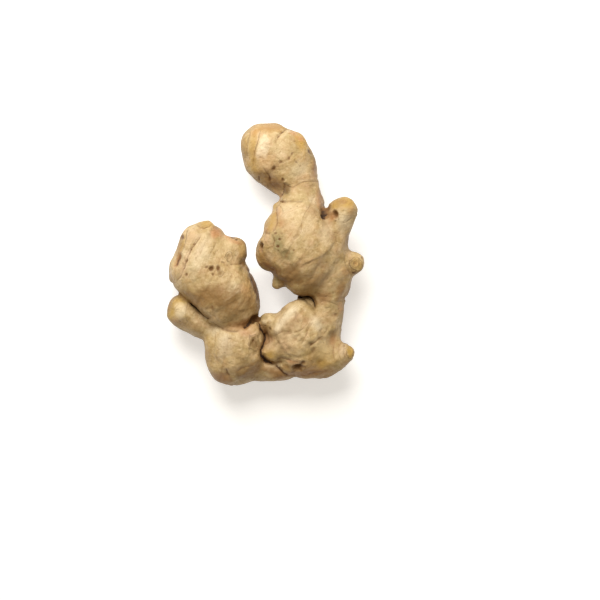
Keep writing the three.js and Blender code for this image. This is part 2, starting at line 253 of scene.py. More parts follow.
# Scars along a line: half the width and the depth in millimetres, and how dark it is.
# A step stands higher on its left, going along the path, by so many millimetres.
STROKES = {
    "arm_tip_ring": line_on(
        (251, 129), (249.2, 136.8), (248, 142.3), (247, 150.3), (245.8, 158.9),
        half=0.32, depth=0.2, dark=0.5, step=-0.25,
    ),
    "arm_second_ring": line_on(
        (261, 129), (259, 136.8), (257.1, 144.8), (254.7, 154), (252.4, 163.8), (252, 169),
        half=0.3, depth=0.22, dark=0.5, step=-0.3,
    ),
    "arm_top_crease": line_on(
        (288, 128.5), (283.4, 132.2), (280.2, 135.6), (276.7, 141.7), (276, 146),
        half=0.42, depth=0.6, dark=0.75, step=0.2,
    ),
    "arm_dotted_scar": line_on(
        (272, 172), (275, 169), (281.3, 163.4), (288.6, 160), (292.2, 155), (296, 152),
        half=0.2, depth=0.15, dark=0.35,
    ),
    "arm_faint_arc": line_on(
        (266, 158.5), (269, 156), (273, 156), (279, 160.3), (281, 163),
        half=0.2, depth=0.12, dark=0.28,
    ),
    "arm_right_dashes": line_on((295.7, 163), (299, 167), (300.6, 171), half=0.2, depth=0.12, dark=0.3),
    "arm_low_ring": line_on(
        (262, 166), (268.8, 176.5), (269.5, 181), (271.5, 186), (276, 191),
        half=0.35, depth=0.3, dark=0.45,
    ),
    "arm_bend_crease": line_on(
        (284.7, 182.6), (284.4, 186), (283.6, 189.6), (282.5, 193.6), (279, 197.5),
        half=0.42, depth=0.5, dark=0.75,
    ),
    "neck_ring": line_on(
        (286, 185), (289, 187), (293, 187.9), (297.4, 185.8), (303.1, 182.9), (314.6, 181.7),
        (318, 183),
        half=0.3, depth=0.32, dark=0.6, step=0.15,
    ),
    # Its dark line is a painted shadow under the bulge above it
    "neck_fold": line_on(
        (279, 201), (284, 202), (291, 202.4), (299, 203.4), (304, 203),
        half=0.5, depth=0.65, dark=0.6, step=0.35,
    ),
    "left_long_scar": line_on(
        (203, 234), (201.6, 237.6), (196.6, 244.7), (192.3, 250), (188.7, 261.1), (186.6, 266.9),
        (184.4, 273.3), (181.6, 277.6), (176.6, 282.6),
        half=0.34, depth=0.4, dark=0.72, step=0.25,
    ),
    "left_second_scar": line_on(
        (200, 234), (195, 241), (190.5, 249), (186.8, 257), (184.5, 266), (182, 272),
        half=0.2, depth=0.15, dark=0.3,
    ),
    "left_edge_scar": line_on(
        (189, 229), (187.3, 234), (186.2, 242.6), (183.7, 251.9), (181, 256),
        half=0.32, depth=0.3, dark=0.6, step=0.2,
    ),
    "left_slit": line_on(
        (182, 253.5), (180.1, 257.5), (178.4, 262.5), (177, 267.5),
        half=0.7, depth=0.9, dark=0.85,
    ),
    "left_inner_scar": line_on(
        (217, 243), (215.9, 245.4), (213.7, 250.4), (210.9, 256.1), (208.5, 262),
        half=0.22, depth=0.15, dark=0.35,
    ),
    "left_bud_rim": line_on(
        (196.5, 224), (199, 227), (204, 228.8), (209, 227.5), (212, 225),
        half=0.3, depth=0.3, dark=0.45,
    ),
    "left_bud_neck": line_on((213, 221.5), (214.5, 226), (218, 230.5), half=0.4, depth=0.2, dark=0.25),
    "left_notch": line_on(
        (231, 264.5), (236, 263.6), (240, 264), (244.5, 262.8),
        half=0.3, depth=0.35, dark=0.5,
    ),
    "left_knob_foot": line_on((246.5, 264), (243.5, 267.5), (241.5, 272), half=0.5, depth=0.3, dark=0.3),
    # Its dark line is a painted shadow along the flap's edge
    "left_flap": line_on(
        (246.5, 266), (249.6, 272), (253.4, 279), (256.8, 288), (258.2, 297), (257.4, 303),
        half=0.42, depth=0.3, dark=0.75,
    ),
    "left_fold_low": line_on(
        (214, 312.6), (221, 309), (228, 305), (236, 301), (245, 297),
        half=0.4, depth=0.1, dark=0.15, step=0.14,
    ),
    "left_fold_line": line_on(
        (213, 303), (213.5, 309), (214.4, 314), (219, 320), (226, 323), (240, 319.5),
        half=0.35, depth=0.3, dark=0.35,
    ),
    # Its dark line is painted shade where the arm overlaps the base
    "left_base_seam": line_on(
        (211, 319.5), (216, 323.5), (221.4, 327), (228, 329.8), (235, 330.6), (243, 328.6),
        half=0.5, depth=0.5, dark=0.4, step=0.5,
    ),
    "finger_ring": line_on(
        (188.5, 301), (187.9, 304.9), (186.4, 312.9), (186.8, 319), (188.5, 324),
        half=0.24, depth=0.2, dark=0.4, step=-0.15,
    ),
    "finger_second_ring": line_on((203, 317), (201, 322), (202.5, 328), half=0.24, depth=0.2, dark=0.3),
    "base_edge_line": line_on(
        (216, 331), (215.6, 338), (215, 346), (214.5, 355),
        half=0.24, depth=0.15, dark=0.3,
    ),
    "base_crack": line_on(
        (226.3, 367.5), (227.6, 371), (228, 374), (230.4, 377),
        half=0.4, depth=0.5, dark=0.75,
    ),
    "base_dash": line_on((228.6, 337.6), (232.6, 338.2), half=0.5, depth=0.3, dark=0.6),
    "base_low_dashes": line_on(
        (224.6, 365), (229, 363), (236, 363.4), (243, 362.6),
        half=0.22, depth=0.15, dark=0.35,
    ),
    "base_low_line": line_on(
        (237, 372), (243, 368), (250, 366), (256, 361),
        half=0.25, depth=0.2, dark=0.3,
    ),
    "middle_long_line": line_on(
        (310.5, 205), (308.9, 208), (304.7, 214.9), (302, 221.8), (301.3, 229.4), (299, 236.3),
        (292, 241),
        half=0.24, depth=0.2, dark=0.42, step=0.15,
    ),
    "middle_second_line": line_on(
        (306, 226), (304.3, 235), (301, 241), (296, 247),
        half=0.2, depth=0.12, dark=0.22,
    ),
    "middle_low_line": line_on(
        (311, 246), (307, 251), (302.5, 257), (298.5, 262),
        half=0.2, depth=0.12, dark=0.3,
    ),
    "middle_step": line_on(
        (300, 267), (309, 262.5), (319, 258), (326.5, 253), (331.5, 246), (335.7, 239.4),
        half=0.3, depth=0.05, dark=0.12, step=0.6,
    ),
    "scale_edge": line_on(
        (275.5, 204), (276.3, 210), (277.2, 217), (277, 225), (275.4, 231), (272.4, 235),
        half=0.3, depth=0.3, dark=0.5,
    ),
    "scale_ring": line_on(
        (276.5, 206), (280, 207), (283, 211), (282.6, 216), (279.5, 219),
        half=0.24, depth=0.15, dark=0.35,
    ),
    "scale_foot": line_on((265.5, 233), (269, 234.5), (272.4, 235), half=0.3, depth=0.25, dark=0.45),
    "eye_edge": line_on(
        (273.5, 235), (275.2, 241), (274, 246.6), (270.5, 249),
        half=0.3, depth=0.3, dark=0.45,
    ),
    "eye_low_edge": line_on(
        (261, 263), (266, 267), (271, 269.5), (275, 271),
        half=0.35, depth=0.25, dark=0.35,
    ),
    "middle_foot_edge": line_on(
        (280, 279), (285, 281.5), (291, 281), (297, 277),
        half=0.4, depth=0.25, dark=0.3,
    ),
    # Its near black line is painted shade in the crotch between the fingers
    "finger_crotch": line_on(
        (326.5, 203), (325.2, 208), (324.2, 214), (324.4, 221),
        half=0.95, depth=0.9, dark=1.0,
    ),
    "finger_ring_low": line_on(
        (338, 224.5), (343.8, 223.5), (349, 220.6), (353, 218),
        half=0.24, depth=0.2, dark=0.35,
    ),
    "knob_ring": line_on(
        (346.5, 251), (344.5, 257), (345, 264), (347.5, 271), (351, 276),
        half=0.26, depth=0.2, dark=0.3, step=-0.2,
    ),
    # Its faint dark line is painted shade in the valley
    "knob_fold": line_on(
        (340, 260), (334, 266.5), (328.5, 274), (319, 285.6),
        half=0.7, depth=0.4, dark=0.22,
    ),
    "column_ring": line_on(
        (316.5, 304), (323, 301.5), (331, 302.5), (338.5, 306),
        half=0.28, depth=0.2, dark=0.3,
    ),
    "bud_ring_a": line_on(
        (345.6, 341), (344, 347), (344.4, 354), (346.4, 359),
        half=0.25, depth=0.25, dark=0.4,
    ),
    "bud_ring_b": line_on(
        (341, 341), (338.8, 347), (339, 355), (341.6, 361),
        half=0.25, depth=0.25, dark=0.35,
    ),
    "bud_fold": line_on(
        (334.6, 342), (333.5, 350), (334.2, 358), (337, 364),
        half=0.35, depth=0.35, dark=0.3,
    ),
    "base_foot_edge": line_on(
        (289, 374), (297, 375.6), (306, 375), (316, 371.5), (324, 371),
        half=0.45, depth=0.45, dark=0.5,
    ),
    "base_cross_line": line_on(
        (309.3, 320.2), (304, 327), (297.5, 331), (289, 333), (281, 334.5),
        half=0.22, depth=0.2, dark=0.38,
    ),
    "base_knob_edge": line_on((273, 336), (279.2, 333.6), (284, 330), half=0.3, depth=0.25, dark=0.4),
    "base_fold": line_on(
        (313, 321), (308.5, 329), (305, 337), (300, 346),
        half=0.28, depth=0.3, dark=0.4, step=0.3,
    ),
    "base_fold_b": line_on(
        (329, 325), (324, 334), (316, 341), (308, 347),
        half=0.3, depth=0.3, dark=0.4, step=0.2,
    ),
    "base_fold_c": line_on((300, 324), (296, 318), (296, 311), half=0.24, depth=0.2, dark=0.3, step=0.15),
    "base_low_edge": line_on(
        (276, 360), (281, 357.5), (287, 358.6), (293, 360.4),
        half=0.4, depth=0.35, dark=0.5,
    ),
}

# Pale ridges along a line: as strokes, but standing out by height. Their pale tint is
# partly the skin's own colour and partly a painted highlight along the crest.
RIDGES = {
    "base_ridge": line_on(
        (299, 303), (290, 313.5), (281.6, 323.7), (275.5, 334),
        width=3.2, height=0.6, pale=1.0,
    ),
    "base_cross_ridge": line_on((312, 316), (317, 324), (320, 331), width=4.2, height=0.4, pale=0.8),
    "middle_ridge": line_on(
        (338, 264), (331, 271), (324, 279), (318, 287),
        width=2.6, height=0.35, pale=0.25,
    ),
    "left_scratch": line_on(
        (223, 302), (229, 299), (234.4, 295.4), (243, 288.3),
        width=0.6, height=0.12, pale=0.6,
    ),
    "left_flap_lip": line_on(
        (248, 270), (252, 279), (256, 289), (257, 297),
        width=1.6, height=0.1, pale=0.45,
    ),
    "arm_crease_lip": line_on((290, 131.5), (286, 135.5), (281.5, 140), width=1.0, height=0.12, pale=0.4),
    "neck_ring_lip": line_on((297, 184), (304, 181), (314, 179.8), width=0.9, height=0.1, pale=0.3),
}

# Round marks: how far each is turned to the left in degrees, and what it does. In
# millimetres: pit (how deep), plate (a round scar's depth), bump (how high) and rough
# (how high its lumps are). As shares: spot (how dark), rim (how dark a plate's outline
# is) and the strength of each tint. Marks named sheen or light are painted highlights,
# laid with the pale tint; marks named shade or shadow are painted shade, laid with the
# brown, grey and dark tints.
MARKS = {
    "base_rough": mark_at(296, 338, 34, 32, rough=0.8),
    "base_left_rough": mark_at(235, 362, 26, 16, rough=0.35),
    "left_rough": mark_at(188, 254, 11, 30, turn=-18, rough=0.4),
    "left_low_rough": mark_at(232, 312, 22, 12, rough=0.12),
    "middle_rough": mark_at(272, 250, 14, 22, rough=0.3),
    "arm_low_rough": mark_at(276, 186, 14, 11, rough=0.35),
    "left_pit_d": mark_at(221.6, 274, 2.6, 2.6, plate=0.3, spot=0.4),
    "left_round_scar": mark_at(230.2, 256.4, 3.5, 4.4, plate=0.35, pale=0.15, rim=0.6),
    "left_edge_spot": mark_at(182, 236.6, 2.6, 3.2, pit=0.4, spot=1.0, brown=0.3),
    "left_edge_strip": mark_at(180.5, 247, 3.4, 11, turn=-12, yellow=0.8, brown=0.7),
    # The pale in these two pink patches is a painted sheen
    "left_pink_a": mark_at(193, 237, 5, 7, turn=-25, pink=0.4, pale=0.45),
    "left_pink_b": mark_at(186, 264, 4, 12, turn=-18, pink=0.35, pale=0.4),
    "left_top_bud": mark_at(204.2, 224.7, 6.2, 3.4, bump=0.4, yellow=0.75, brown=0.25),
    "left_top_bud_eye": mark_at(202, 224, 2.6, 1.5, pale=0.5, bump=0.15),
    "left_knob_blush": mark_at(216.5, 233, 5, 6, turn=-35, pink=1.2),
    "left_knob_blush_b": mark_at(227, 236, 4, 3.4, pink=0.7),
    "left_knob_lip": mark_at(237, 241.5, 8, 3, turn=-12, pink=0.8, pale=0.3, brown=0.2),
    "left_knob_side": mark_at(243, 250, 3.6, 12, yellow=0.45, brown=0.3),
    "left_knob_foot_green": mark_at(241.6, 270, 3, 5.5, yellow=0.35, grey=0.5, brown=0.3),
    "left_sheen": mark_at(202, 254, 8, 24, turn=-20, pale=0.55),
    "left_sheen_b": mark_at(226, 246, 9, 8, pale=0.3, yellow=0.2),
    "left_shade": mark_at(211, 296, 27, 12, turn=10, brown=1.1),
    "left_shade_b": mark_at(234, 307, 20, 13, turn=25, brown=0.85),
    "left_flap_tan": mark_at(250, 296, 6, 16, turn=16, pink=0.3, yellow=0.3),
    "left_lobe_foot_red": mark_at(240, 325, 14, 4, turn=14, pink=0.7, brown=0.4),
    "finger_tip": mark_at(179, 296.5, 11, 5, turn=-12, yellow=1.0, grey=0.15),
    "finger_tip_green": mark_at(186.5, 300.5, 4, 3, yellow=0.6, grey=0.5),
    "finger_rim": mark_at(169.5, 308, 4.5, 12, yellow=0.75, grey=0.3),
    "finger_sheen": mark_at(179.5, 309.5, 7, 9, pale=1.3),
    # Painted shade: the finger's lower side made browner
    "finger_low_shade": mark_at(190, 325, 14, 6, turn=-20, brown=0.45),
    "base_sheen": mark_at(225, 343.5, 8.6, 12.5, pale=0.8),
    "base_sheen_top": mark_at(212, 331, 6, 5, pale=0.4),
    "base_scar": mark_at(254.3, 342.3, 4.6, 7.4, plate=0.4, spot=0.35, brown=0.5, grey=0.5, rim=0.55),
    "base_blush": mark_at(246, 332, 6, 3.4, pink=0.7, pale=0.4, bump=0.2),
    "base_left_tan": mark_at(209, 352, 5, 16, yellow=0.3, brown=0.25),
    "base_low_blush": mark_at(222, 378, 10, 5, turn=-15, pink=0.8, brown=0.6),
    "base_low_brown": mark_at(250, 371, 16, 7, turn=25, brown=0.8, pink=0.2),
    "base_low_green": mark_at(244, 377, 8, 4, grey=0.5, brown=0.3),
    # Its pit is carved, and its dark patch is painted shade in the deep hollow
    "foot_hollow": mark_at(256.5, 318.5, 5.6, 4.0, turn=30, pit=1.2, spot=1.0, grey=1.2, brown=0.7),
    "base_bud_a": mark_at(264.6, 321.6, 3.6, 3.0, bump=0.4, pale=0.6),
    "base_bud_b": mark_at(270, 320.4, 2.6, 2.6, bump=0.25, pale=0.5),
    "base_bud_olive": mark_at(263, 317, 5, 3, grey=0.6, brown=0.4),
    "base_cross_shade": mark_at(291, 326.5, 13, 4.4, turn=42, brown=0.5, grey=0.3),
    "base_pink_edge": mark_at(268, 343, 4, 8, pink=0.3, pale=0.5),
    "low_knob": mark_at(271.2, 354.6, 6, 6.6, yellow=0.75, pale=0.3),
    "low_knob_shade": mark_at(281.6, 356, 5, 6, brown=0.55, grey=0.5),
    "base_pit": mark_at(298, 365.6, 7.4, 4.2, turn=8, pit=1.8, spot=0.85, brown=0.7),
    "base_pit_rim": mark_at(293, 360.6, 7, 2.4, turn=-5, pink=0.8, pale=0.2),
    "base_pit_side": mark_at(286, 367, 5, 4, pit=0.3, yellow=0.35, brown=0.9),
    "base_pit_pale": mark_at(278.3, 366, 2.2, 3.2, bump=0.3, pale=1.0),
    "foot_strip": mark_at(276, 373, 13, 5, turn=-25, pink=0.7, brown=0.9, grey=0.2),
    "base_tan": mark_at(320, 356, 14, 14, yellow=0.45, brown=0.1),
    "base_tan_low": mark_at(322, 363, 7, 4, yellow=0.4, brown=0.2),
    "base_spot_a": mark_at(310.4, 343.4, 4.4, 2.6, turn=20, pit=0.3, spot=0.36, grey=0.3),
    "base_spot_b": mark_at(313.2, 349.4, 3.0, 3.4, pit=0.3, spot=0.36, grey=0.3),
    "base_spot_c": mark_at(321.6, 338.2, 4.2, 2.6, turn=30, pit=0.3, spot=0.36, grey=0.3),
    "base_spot_d": mark_at(331.4, 332.6, 5.4, 3.0, turn=30, pit=0.2, spot=0.36, grey=0.4),
    "base_right_blush": mark_at(333, 339, 3.4, 5, pink=0.7),
    "base_red_edge": mark_at(306, 373, 22, 4.5, turn=4, pink=0.8, brown=0.65),
    "bud_tip": mark_at(349.6, 350.6, 3.6, 5.4, yellow=0.75, plate=0.3),
    "bud_pale": mark_at(343, 350, 2.6, 8, pale=0.4),
    "scale": mark_at(272.4, 222.6, 3.6, 10.6, turn=-8, bump=0.6, yellow=1.0, pale=0.2),
    "scale_low": mark_at(268.6, 231.6, 3.2, 2.6, pink=0.6, yellow=0.5),
    "scale_side": mark_at(279.6, 211.6, 3.0, 5.6, pink=0.5, bump=0.25),
    "scale_top": mark_at(274.4, 205.6, 3.6, 2.6, yellow=0.6, grey=0.4),
    "scale_blush": mark_at(281.4, 224, 3.0, 5.0, pink=0.4, brown=0.15),
    "eye": mark_at(268.8, 240.5, 4.8, 6.1, bump=0.5, pink=0.35, pale=0.35),
    "eye_pit": mark_at(261.8, 246.2, 3.2, 4.4, pit=1.2, spot=1.0, turn=-15),
    "eye_pit_low": mark_at(261.6, 250, 2.6, 3.0, pit=0.6, spot=0.45, pink=0.5, brown=0.5),
    "eye_spot": mark_at(261.4, 240.4, 2.8, 2.8, yellow=0.9, pale=0.3),
    "low_side_tan": mark_at(262.6, 257.4, 4.6, 5.4, yellow=0.45, brown=0.6),
    "low_side_blush": mark_at(267.6, 266, 6, 4, turn=-35, pink=0.9, brown=0.2),
    "low_side_pale": mark_at(270, 257, 4.4, 6, pale=0.4, pink=0.2),
    "grey_field": mark_at(278.6, 243, 5.4, 11, grey=1.0),
    "grey_patch": mark_at(286, 255, 7.4, 7, turn=-20, grey=0.95, brown=0.3),
    "grey_disc": mark_at(285.7, 253.6, 4.4, 4.2, plate=0.3),
    "middle_sheen": mark_at(290, 216, 12, 14, turn=20, pale=0.15),
    "middle_sheen_b": mark_at(310, 222, 5.6, 18, turn=-14, pale=0.3, pink=0.1),
    "middle_shade": mark_at(291, 276, 11, 8, turn=12, brown=1.2),
    "middle_shade_b": mark_at(312, 284, 15, 10, turn=20, brown=0.8),
    "middle_foot_red": mark_at(276, 272, 5, 4, pink=0.5, brown=0.5),
    "middle_pale": mark_at(326, 232, 6.5, 13, turn=-10, pale=0.45),
    "spur_tip": mark_at(276, 281.4, 4.6, 5, grey=0.7, yellow=0.3, pale=0.3),
    "finger_pit": mark_at(334.4, 215.4, 3.4, 5.0, pit=1.2, spot=0.95, turn=20),
    "finger_pit_red": mark_at(331.8, 217.4, 3.4, 4.8, turn=-15, pit=0.5, pink=1.2, brown=0.5),
    "right_finger_tip": mark_at(343, 202, 9, 5.6, yellow=1.0, brown=0.5),
    "right_finger_tip_spot": mark_at(343, 202.4, 4.6, 2.6, yellow=0.6, pink=0.45),
    "right_finger_side": mark_at(350, 213, 4, 6, pink=0.25),
    "right_finger_edge": mark_at(333.5, 206.5, 4.4, 3.4, turn=35, yellow=0.75),
    "knob_scar": mark_at(355.4, 264, 6.0, 6.2, plate=0.5, yellow=0.55, rim=0.7),
    "knob_scar_core": mark_at(355.6, 264, 2.6, 2.8, plate=0.3, pink=0.4, pale=0.3),
    "knob_side": mark_at(346, 272, 5, 5, pink=0.35, yellow=0.2),
    "column_blush": mark_at(323, 298, 8, 6, pink=0.55, brown=0.4),
    "column_green": mark_at(331, 306, 5, 4, yellow=0.3, grey=0.4),
    "column_spot": mark_at(335.6, 314.4, 2.4, 2.0, spot=0.6, pit=0.2),
    "column_spot_b": mark_at(326.2, 307.7, 1.5, 1.3, spot=0.4, pit=0.2),
    "column_pink": mark_at(340.4, 308, 2.8, 5, pink=0.6, pale=0.2),
    "column_edge": mark_at(341, 290, 3.6, 12, turn=-15, brown=0.6, pink=0.35),
    "arm_orange": mark_at(301, 142.5, 6, 10, turn=20, yellow=1.0, pink=0.1),
    "arm_orange_core": mark_at(299.6, 140.4, 4.0, 3.0, turn=-35, yellow=1.0, pink=0.8),
    "arm_orange_top": mark_at(293, 134.5, 4.4, 3, turn=-25, pink=0.75),
    "arm_edge_spot": mark_at(308.4, 152.4, 2.0, 3.2, turn=25, pit=0.3, spot=0.85, grey=0.4),
    "arm_edge_olive": mark_at(311, 156, 2.4, 4, turn=25, grey=0.7, brown=0.4),
    "arm_edge_blush": mark_at(314.4, 168, 2.6, 9, pink=0.7, brown=0.35),
    "arm_top_cast": mark_at(270, 127.4, 16, 5, yellow=0.8, brown=0.5, pink=0.5),
    "arm_top_left": mark_at(254, 133, 5, 3.6, turn=35, pink=0.45, yellow=0.4),
    "arm_tip_band": mark_at(252.8, 148, 4.2, 17, turn=-8, yellow=0.7, brown=0.2),
    "arm_tip_rim": mark_at(245.4, 148, 2.4, 14, yellow=0.45, brown=0.5),
    "arm_low_band": mark_at(255, 168, 5, 10, turn=25, yellow=0.5, brown=0.35),
    "arm_sheen": mark_at(263, 148.5, 5.4, 10.6, turn=-6, pale=1.3),
    "arm_sheen_b": mark_at(258.6, 154.5, 3.4, 4.4, pale=0.6, pink=0.15),
    "arm_light": mark_at(282, 152, 10, 8, turn=20, pale=0.1),
    "arm_green_patch": mark_at(287, 190.6, 4.4, 5.6, grey=1.0, brown=0.3, spot=0.6),
    "arm_low_brown": mark_at(275, 185, 8.6, 7.4, turn=-25, brown=0.75, pink=0.3),
    "arm_low_left": mark_at(262, 175, 7, 5, turn=-30, brown=0.35, pink=0.15),
    "neck_side": mark_at(319.6, 200, 3.4, 10, turn=8, pink=0.75, brown=0.3),
    "neck_blush": mark_at(306, 178, 9, 4, turn=10, pink=0.3),
    "left_slit_red": mark_at(178.6, 261, 2.8, 6.5, turn=-16, pink=1.2, brown=0.5),
    "right_finger_light": mark_at(343, 222, 7, 11, turn=-8, pale=0.75),
    "right_finger_low": mark_at(345, 236, 6, 6, pale=0.2, pink=0.15),
    "base_tan_light": mark_at(323, 350, 10, 10, pale=0.8, yellow=0.2),
    "arm_low_light": mark_at(300, 171, 10, 9, pale=0.45),
    "middle_left_tan": mark_at(284, 226, 9, 14, turn=10, brown=0.16, pink=0.15),
    "left_flap_shadow": mark_at(255.4, 284, 2.4, 19, turn=20, dark=1.2, brown=1.2),
    "base_pink_field": mark_at(287, 336, 14, 16, pink=0.2, pale=0.3),
}

# Small dark pits, by the part of the hand that they are on: the pixel, the half sizes,
# how far each is turned, how deep it is in millimetres and how dark
SMALL_PITS = {
    "left": [
        (212.6, 268.6, 3.8, 2.6, 15, 0.9, 1.0), (219.8, 268.0, 2.6, 3.2, 0, 0.8, 0.95),
        (214.2, 274.7, 1.6, 2.1, 0, 0.5, 0.85), (207.6, 267.4, 1.6, 1.6, 0, 0.4, 0.75),
        (188.6, 274.6, 1.7, 1.9, 0, 0.5, 0.75), (197.2, 258.6, 1.5, 1.3, 0, 0.2, 0.35),
        (224.3, 262.8, 2.3, 1.2, -35, 0.3, 0.55), (228.4, 265.4, 1.3, 1.2, 0, 0.2, 0.4),
        (195.2, 244.6, 1.8, 1.3, 20, 0.3, 0.6), (192.4, 250, 1.6, 1.6, 0, 0.3, 0.55),
        (188.4, 261.4, 1.5, 2.2, -25, 0.3, 0.7), (233, 236.8, 3.0, 1.8, 0, 0.4, 1.0),
        (237.6, 238.4, 2.0, 1.4, 0, 0.3, 0.8),
    ],
    "base": [
        (254, 341, 2.8, 4.6, 0, 0.4, 1.0), (250.6, 344.6, 1.5, 1.7, 0, 0.2, 0.5),
        (265.4, 325.6, 2.3, 1.3, -20, 0.3, 0.7), (270.2, 328.4, 2.6, 1.6, -20, 0.3, 0.6),
        (303, 361.5, 3.4, 2.6, 0, 0.8, 0.7), (300, 335, 2.4, 1.6, 0, 0.1, 0.25),
    ],
    "grey": [
        (276.8, 234.6, 1.7, 1.2, 0, 0.3, 0.75), (281.7, 234.6, 1.6, 1.1, 0, 0.3, 0.65),
        (280.2, 240.1, 1.7, 1.5, 0, 0.5, 0.95), (278.4, 247.2, 1.9, 1.5, 0, 0.5, 0.95),
        (278.8, 251.4, 1.2, 1.0, 0, 0.3, 0.6),
    ],
    "middle": [
        (293.7, 251.3, 1.8, 1.5, 0, 0.3, 0.6), (302.2, 248.8, 1.5, 1.2, 0, 0.2, 0.5),
        (289.4, 248.2, 1.2, 1.0, 0, 0.1, 0.35), (334, 263.4, 1.5, 1.7, 0, 0.2, 0.4),
    ],
    "knob": [
        (353.3, 273.1, 1.7, 1.5, 0, 0.3, 0.85), (362.4, 257.5, 1.6, 2.2, 0, 0.3, 0.7),
    ],
    "arm": [
        (281.3, 163.2, 2.4, 1.5, 15, 0.35, 0.7), (288.9, 159.8, 1.6, 2.0, -35, 0.3, 0.65),
        (295.8, 162.8, 1.9, 1.3, -25, 0.3, 0.6), (274.3, 169.6, 2.5, 2.6, 25, 0.5, 0.95),
        (283.1, 179.9, 2.0, 2.2, 0, 0.5, 0.95), (300.4, 166.8, 1.3, 1.3, 0, 0.2, 0.4),
        (292.3, 155.2, 1.2, 1.8, -25, 0.2, 0.45), (278.4, 167.6, 1.6, 1.3, 20, 0.2, 0.5),
        (269.6, 180, 1.6, 3.4, -15, 0.3, 0.7), (258.8, 179.6, 1.5, 3, 10, 0.4, 0.85),
    ],
    "neck": [
        (281.6, 201.7, 2.2, 1.5, 0, 0.4, 0.95),
    ],
}

# Marks that the photograph doesn't show, strewn over the whole skin: how many, the share
# of them kept on top, their radii in millimetres, and what each does
STREWN = {
    "speckle": dict(count=420, top=0.1, radius=(0.35, 0.7), pit=0.1, spot=0.45),
    "root_pit": dict(count=90, radius=(0.6, 1.1), pit=0.6, spot=0.8),
    "root_scar": dict(count=30, radius=(1.3, 2.4), plate=0.3, brown=0.4),
    "blotch": dict(count=90, top=0.3, radius=(2.5, 6.0), brown=0.4),
    "blush": dict(count=40, top=0.3, radius=(2.0, 5.0), pink=0.35),
    "pale_patch": dict(count=50, top=0.3, radius=(2.5, 5.5), pale=0.4),
}

TINTS = ("dark", "brown", "yellow", "pink", "pale", "grey")
FAR = 9.0  # a distance or reach where no line or spot is near
NOWHERE = 1e3  # a distance, in millimetres, that every real one is less than
NO_LOBE = 60.0  # the distance of a lobe from the skin that it is nowhere near
RIM_HALF = 0.24  # half the width of the line round a round scar
LINE_SEEN = 0.8  # how far from a line, in millimetres, its darkness is held
HASH_PRIMES = np.array([73856093, 19349663, 83492791])  # they scatter a grid's cells
HASH_MIX = 1274126177


def noise(points, size, seed=0):
    """Smooth noise between -1 and 1, with lumps of the given size in millimetres."""
    scaled = points / size + 31.7 * (seed + 1)
    cell = np.floor(scaled).astype(np.int64)
    part = scaled - cell
    ease = part**3 * (part * (part * 6 - 15) + 10)
    total = np.zeros(len(points))
    for corner in product((0, 1), repeat=3):
        key = (cell + corner) @ HASH_PRIMES
        key = (key ^ (key >> 13)) * HASH_MIX & 0x7FFFFFFF
        key = (key ^ (key >> 16)) & 0xFFFF
        share = np.prod(np.where(corner, ease, 1 - ease), axis=1)
        total += share * (key / 32767.5 - 1)
    return total


def smooth_path(points, steps=6):
    """A Catmull-Rom curve through points, as closely spaced points."""
    known = np.array(points, float)
    known = np.vstack([2 * known[0] - known[1], known, 2 * known[-1] - known[-2]])
    path = []
    for before, a, b, after in zip(known, known[1:], known[2:], known[3:]):
        for t in np.arange(steps) / steps:
            path.append(
                0.5
                * (
                    2 * a
                    + (b - before) * t
                    + (2 * before - 5 * a + 4 * b - after) * t**2
                    + (3 * a - before - 3 * b + after) * t**3
                )
            )
    return np.array(path + [known[-2]])


def from_pixel(u, v):
    """The x and y, in millimetres, under a pixel of the photograph."""
    return np.array([(u - ORIGIN_PIXEL[0]) * PIXEL, (ORIGIN_PIXEL[1] - v) * PIXEL])


class Lobe:
    """One lobe: how far a point is from it, and how far along its rings' own axis."""

    def __init__(self, spine, rings=(), blend=BLEND, yellow=0.0, grain=None):
        self.chain = smooth_path(spine, 5 if len(spine) > 2 else 1)
        self.grain = grain
        self.rings = rings
        self.blend = blend
        self.yellow = yellow
        self.tip_radius = spine[-1][3]
        steps = np.linalg.norm(np.diff(self.chain[:, :3], axis=0), axis=1)
        self.length = steps.sum()
        self.starts = np.concatenate([[0], np.cumsum(steps)])
        self.low = (self.chain[:, :3] - self.chain[:, 3:]).min(0) - MARGIN
        self.high = (self.chain[:, :3] + self.chain[:, 3:]).max(0) + MARGIN

    def near(self, points):
        return np.all((points > self.low) & (points < self.high), axis=1)

    def measure(self, points):
        """Distance to the lobe's surface, and back from its tip or along its grain."""
        best = np.full(len(points), NOWHERE)
        back = np.zeros(len(points))
        end = self.length + self.tip_radius
        last = len(self.chain) - 2
        for i, (a, b) in enumerate(zip(self.chain, self.chain[1:])):
            along = (b - a)[:3]
            size = np.linalg.norm(along)
            free = (points - a[:3]) @ along / size**2
            t = np.clip(free, 0, 1)
            gap = np.linalg.norm(points - a[:3] - t[:, None] * along, axis=1)
            gap -= a[3] + t * (b[3] - a[3])
            closer = gap < best
            best = np.where(closer, gap, best)
            reached = np.maximum(free, 0) if i == last else t
            back = np.where(closer, end - self.starts[i] - reached * size, back)
        if self.grain:
            back = points @ np.array(self.grain)
        return best, back


LOBE_LIST = [Lobe(**lobe) for lobe in LOBES.values()]


def crease(points):
    """1 where lobes blend freely, down to CREASED where they only press together."""
    free = np.ones(len(points))
    for x, y, z, reach in CREASES:
        distance = np.linalg.norm(points - (x, y, z), axis=1)
        free = np.minimum(free, 1 - (1 - CREASED) * np.exp(-((distance / reach) ** 2)))
    return free


